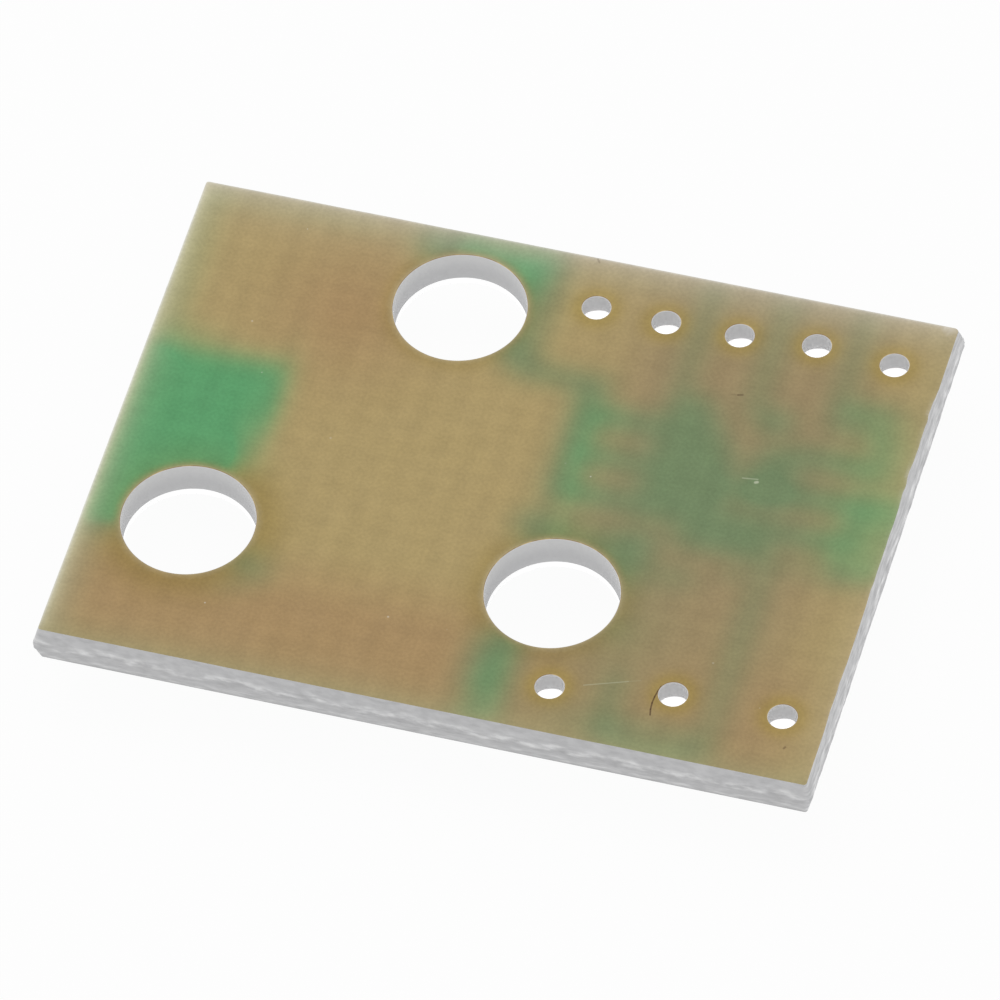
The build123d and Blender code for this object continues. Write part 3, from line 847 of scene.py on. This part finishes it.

# %% [markdown]
# The finishes of the holes and the lower face
# A drilled wall is smooth grey, lighter at the top, with amber at its rim. The band low down is painted
# white for the table's light below, and a painted glow makes it shine a little. The plate's points say
# where rim and band are, which keeps their borders sharp. The lower face is bare laminate that the mask
# and the copper hide.

# %% Make the hole and underside finishes
# Strength of the painted glow in the band low in each hole, standing for the table's light.
lit_band_glow = 0.25
hole_finish, tree, shader = new_finish(
    "drilled_wall", Roughness=0.55, Specular_IOR_Level=0.1, Emission_Color=white
)
wall_height = node(tree, "ShaderNodeSeparateXYZ", {0: places(tree)}).outputs["Z"]
near_top = ramp(tree, wall_height, -0.7, 0.0)
wall_colour = mixed(tree, near_top, colour(198, 198, 199), colour(216, 216, 216))
wall_shade = drifting(tree, 0.12, 0.985, 1.015)
wall_colour = mixed(tree, 1.0, wall_colour, wall_shade, "MULTIPLY")
# Painted light: the band low in the hole is painted white where the table's light shines up it.
frayed_share = ramp(tree, carried(tree, "frayed"), 0.4, 0.6)
wall_colour = mixed(tree, frayed_share, wall_colour, colour(252, 252, 252))
rim_drift = ramp(tree, cloudy(tree, 0.5), 0.45, 0.65)
rim_colour = mixed(tree, rim_drift, colour(150, 116, 60), colour(206, 178, 112))
wall_colour = mixed(tree, ramp(tree, carried(tree, "rim"), 0.3, 0.8), wall_colour, rim_colour)
tree.links.new(wall_colour, shader.inputs["Base Color"])
# Painted glow: the band emits light of its own.
tree.links.new(reckon(tree, "MULTIPLY", frayed_share, lit_band_glow), shader.inputs["Emission Strength"])
emboss(tree, shader, cloudy(tree, 0.08), 0.1, 0.01)

low_finish, tree, shader = new_finish("laminate_underside", Roughness=0.5)
low_colour = mixed(tree, cloudy(tree, 0.4), colour(176, 172, 140), colour(196, 192, 160))
tree.links.new(low_colour, shader.inputs["Base Color"])
print("finishes", hole_finish.name, "and", low_finish.name)

# %% [markdown]
# The plate takes the CAD plate's place
# The new mesh has the CAD plate's own faces, holes and web, so it stands for that node and the CAD one is
# hidden. Its points also carry where the bands of painted table light low in the holes, the rims and the
# torn side walls are. It rides on the one body that a part without joints has.

# %% Add the plate to the object
frayed, at_rim, torn = np.zeros((3, len(plate_points)))
frayed[np.concatenate(frayed_rings)] = 1.0
at_rim[np.concatenate(top_rings[1:])] = 1.0
torn[np.concatenate(edge_rings)] = np.tile(np.abs(outward[:, 0]), len(edge_rings))
opaque_colour = np.column_stack((shown_colour, np.ones(len(shown_colour))))
plate_finishes = (laminate_finish, edge_finish, hole_finish, low_finish)
plate = new_piece(
    "board_plate", plate_points, face_parts, plate_finishes, face_finish,
    shown_colour=opaque_colour, frayed=frayed, rim=at_rim, torn=torn,
)
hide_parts("laminate_board")
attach(plate, "root")

# %% [markdown]
# The solder mask
# The mask is a green lacquer film. It is open at the mounting holes, the wire lands and the chip's pads,
# and it dips a little between the tracks, which shine through it in a lighter green. The CAD film is flat
# underneath. So its rings of edge points are read, and a new film with the same openings follows the
# copper.

# %% Read the mask's openings
def flat_rings(name, level):
    """Rings of points round the faces of a CAD node that lie at one level, widest ring first."""
    points, corners = node_mesh(name)
    flat = corners[(np.abs(points[corners][:, :, 2] - level) < tiny).all(axis=1)]
    edges = {(a, b) for face in flat.tolist() for a, b in zip(face, face[1:] + face[:1])}
    follow = {a: b for a, b in edges if (b, a) not in edges}
    rings = []
    while follow:
        first, ahead = follow.popitem()
        ring = [first]
        while ahead != first:
            ring.append(ahead)
            ahead = follow.pop(ahead)
        rings.append(points[ring][:, :2])
    return sorted(rings, key=lambda ring: np.ptp(ring[:, 0]), reverse=True)


mask_low = node_mesh("solder_mask")[0][:, 2].min()
copper_low = node_mesh("ground_copper")[0][:, 2].min()
mask_edge, *mask_rings = flat_rings("solder_mask", mask_low)
most_square_points, wide_radius = 8, 1.0
wide_mask_steps, small_mask_steps = 96, 48
mask_openings = []
for ring in mask_rings:
    opening = {"centre": (ring.max(axis=0) + ring.min(axis=0)) / 2}
    half = np.ptp(ring, axis=0) / 2
    if len(ring) > most_square_points:
        opening["radius"] = half[0]
        opening["count"] = wide_mask_steps if half[0] > wide_radius else small_mask_steps
    else:
        opening["half"] = half
    mask_openings.append(opening)
print("mask openings:", len(mask_openings))
print("mask at", round(mask_low, 3), "mm under copper at", round(copper_low, 3), "mm")

# %% [markdown]
# The film itself
# The film has two sheets with the same triangles. The upper one lies on the plate and the copper, the
# lower one is smooth, and bands close it at its edge and its openings. A Solidify modifier would give it
# one even thickness. Here both sheets follow a lightly blurred copper drawing, so the film is thinner
# over tracks.

# %% Build the mask film
sag, film_blur = 0.014, 0.07
film_corner, film_edge_spacing, film_spacing = 0.05, 0.15, 0.12
mask_outline, _ = rounded_outline(*mask_edge.max(axis=0), (film_corner,) * 4, film_edge_spacing)
film_spots, film_faces, film_rings = holed_sheet(mask_outline, mask_openings, film_spacing)
cover = np.clip(read_field(blurred(copper_field, film_blur), film_spots), 0, 1)
upper = np.column_stack((film_spots, low_level + cover * (copper_low - low_level)))
lower = np.column_stack((film_spots, mask_low + sag * (1 - cover)))
film_count = len(film_spots)
film_parts = [film_faces, film_faces[:, ::-1] + film_count]
for number, ring in enumerate(film_rings):
    film_parts.append(band([ring, ring + film_count], outwards=number == 0))

mask_finish, tree, shader = new_finish("green_mask", Roughness=0.3)
over_copper = ramp(tree, carried(tree, "cover"), 0.1, 0.9)
mask_green = mixed(tree, over_copper, colour(14, 78, 44), colour(44, 128, 70))
mask_green = mixed(tree, 1.0, mask_green, ramp(tree, cloudy(tree, 0.5), 0.2, 0.8, 0.9, 1.1), "MULTIPLY")
tree.links.new(mask_green, shader.inputs["Base Color"])
tree.links.new(drifting(tree, 1.5, 0.22, 0.36), shader.inputs["Roughness"])
emboss(tree, shader, cloudy(tree, 0.3), 0.15, 0.01)
film_points = np.concatenate((upper, lower))
film = new_piece("mask_film", film_points, film_parts, (mask_finish,), cover=np.tile(cover, 2))
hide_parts("solder_mask")
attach(film, "root")

# %% [markdown]
# The finishes of the underside
# Copper is a warm satin metal, the leads are plated, and the chip is matt black moulding with fine grain.
# New meshes could be made for these too. But their true shape is already in the CAD model, so the nodes
# stay and only get finishes. Tin is bright and slightly mottled, and is for the joints and lands that
# follow.

# %% Dress the CAD nodes of the underside
def metal_finish(name, dark, light, rough_low, rough_high, grain_size):
    """A metal whose colour and polish drift between two values with soft noise."""
    finish, tree, shader = new_finish(name, Metallic=1.0)
    drift = drifting(tree, grain_size)
    tree.links.new(mixed(tree, drift, dark, light), shader.inputs["Base Color"])
    rough = drifting(tree, grain_size * 0.6, rough_low, rough_high)
    tree.links.new(rough, shader.inputs["Roughness"])
    emboss(tree, shader, drift, 0.1, 0.01)
    return finish


copper_finish = metal_finish("copper_foil", colour(196, 128, 92), colour(226, 158, 118), 0.3, 0.45, 0.3)
tin_finish = metal_finish("bright_tin", colour(196, 197, 196), colour(224, 224, 222), 0.18, 0.34, 0.16)
lead_finish = metal_finish("plated_lead", colour(186, 187, 188), colour(206, 206, 206), 0.3, 0.42, 0.25)

mould_finish, tree, shader = new_finish("chip_mould", Roughness=0.62)
mould_colour = mixed(tree, cloudy(tree, 0.06), colour(36, 36, 38), colour(48, 48, 50))
tree.links.new(mould_colour, shader.inputs["Base Color"])
emboss(tree, shader, cloudy(tree, 0.05), 0.3, 0.01)

dress = {
    "copper": copper_finish, "spare_pad": copper_finish,
    "chip_lead": lead_finish, "chip_body": mould_finish,
}
for name, part in frame["nodes"].items():
    for words, finish in dress.items():
        if words in name:
            for place in part.material_slots:
                place.material = finish
print("finishes for", ", ".join(dress))

# %% [markdown]
# Solder joints
# Molten solder wets the copper and climbs each edge that it meets. So a joint is a hollow slope, from the
# rim of its pad up to the foot of its lead. The CAD joints are plain wedges. Here each is a grid over the
# pad, and its depth falls away from the foot as an exponential curve. It ends in a thin edge, and a flat
# lid closes it.

# %% Build the solder joints
foot_length, film_depth, climb, thin_edge = 0.65, 0.025, 0.11, 0.004
across_steps, along_steps, across_power, along_power = 45, 25, 14, 10


def node_box(name):
    """Lowest and highest corner of a CAD node in millimetres."""
    return (np.array(corner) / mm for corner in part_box(name))


def joint_patch(joint, lead):
    """Grid over a pad: depth is the joint's height times exp(-gap to the foot), thin at the pad's rim."""
    (low, high), (lead_low, lead_high) = node_box(joint), node_box(lead)
    across, along = np.meshgrid(np.linspace(-1, 1, across_steps), np.linspace(-1, 1, along_steps))
    middle, half = (low + high) / 2, (high - low) / 2
    x, y = middle[0] + across * half[0], middle[1] + along * half[1]
    outer_side = 1 if lead_high[0] > chip_high[0] else -1
    toe = lead_high[0] if outer_side > 0 else lead_low[0]
    foot_low, foot_high = sorted((toe, toe - outer_side * foot_length))
    gap_x = np.maximum(np.maximum(foot_low - x, x - foot_high), 0)
    gap_y = np.maximum(np.maximum(lead_low[1] - y, y - lead_high[1]), 0)
    rise = film_depth + (2 * half[2] - film_depth) * np.exp(-np.hypot(gap_x, gap_y) / climb)
    depth = thin_edge + (rise - thin_edge) * (1 - across ** across_power) * (1 - along ** along_power)
    points = np.stack((x, y, high[2] - depth), axis=-1).reshape(-1, 3)
    number = np.arange(len(points)).reshape(across.shape)
    quads = np.stack((number[:-1, :-1], number[1:, :-1], number[1:, 1:], number[:-1, 1:]), axis=-1)
    rim = np.concatenate((number[0, :-1], number[:-1, -1], number[-1, :0:-1], number[:0:-1, 0]))
    lid = len(points) + np.arange(len(rim))
    lid_points = np.column_stack((points[rim][:, :2], np.full(len(rim), high[2])))
    return np.concatenate((points, lid_points)), quads.reshape(-1, 4), band([lid, rim]), lid[None, :]


def joined(parts):
    """Points of all parts in one array, and their faces with the point numbers counted on."""
    starts = np.cumsum([0, *(len(points) for points, *_ in parts)])
    faces = [face + start for start, (_, *part) in zip(starts, parts) for face in part]
    return np.concatenate([points for points, *_ in parts]), faces


joint_names = [name for name in frame["nodes"] if "solder_joint" in name]
joint_parts = [joint_patch(name, name.replace("solder_joint", "chip_lead")) for name in joint_names]
joints = new_piece("solder_fillets", *joined(joint_parts), (tin_finish,), smooth_angle=80.0)
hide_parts(*joint_names)
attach(joints, "root")

# %% [markdown]
# Tinned lands
# The coat on a wire land is a low ring of solder with a round top. A torus would be too round and too
# even. So it is a profile turned about the hole: a raised sine from the inner rim to the outer one. The
# crown also waves a little round the ring, because the solder sets before it has levelled.

# %% Build the tinned lands
ring_steps, profile_steps, setback = 72, 15, 0.04
slow_wave, fast_wave, land_turn = 0.12, 0.08, 1.7


def land_ring(name, turn):
    """Closed ring: depth is the crown times sin(pi t) to the power 0.8, waved by the angle."""
    low, high = node_box(name)
    centre, outer = (low + high)[:2] / 2, (high - low)[0] / 2
    hole = min(holes, key=lambda hole: np.linalg.norm(hole["centre"] - centre))
    inner = hole["radius"] + setback
    angles = np.arange(ring_steps) * 2 * pi / ring_steps
    share, angle = np.meshgrid(np.linspace(1, 0, profile_steps), angles, indexing="ij")
    reach = inner + share * (outer - inner)
    wave = 1 - slow_wave * (0.5 + 0.5 * np.sin(2 * angle + turn))
    wave -= fast_wave * (0.5 + 0.5 * np.sin(5 * angle + 3 * turn))
    depth = (high - low)[2] * np.sin(pi * share) ** 0.8 * wave
    x, y = hole["centre"][0] + reach * np.cos(angle), hole["centre"][1] + reach * np.sin(angle)
    points = np.stack((x, y, high[2] - depth), axis=-1).reshape(-1, 3)
    rings = np.arange(len(points)).reshape(share.shape)
    return points, band([*rings, rings[0]])


land_names = [name for name in frame["nodes"] if "tinned_land" in name]
land_parts = [land_ring(name, land_turn * number) for number, name in enumerate(land_names)]
lands = new_piece("tin_rings", *joined(land_parts), (tin_finish,), smooth_angle=80.0)
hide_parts(*land_names)
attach(lands, "root")
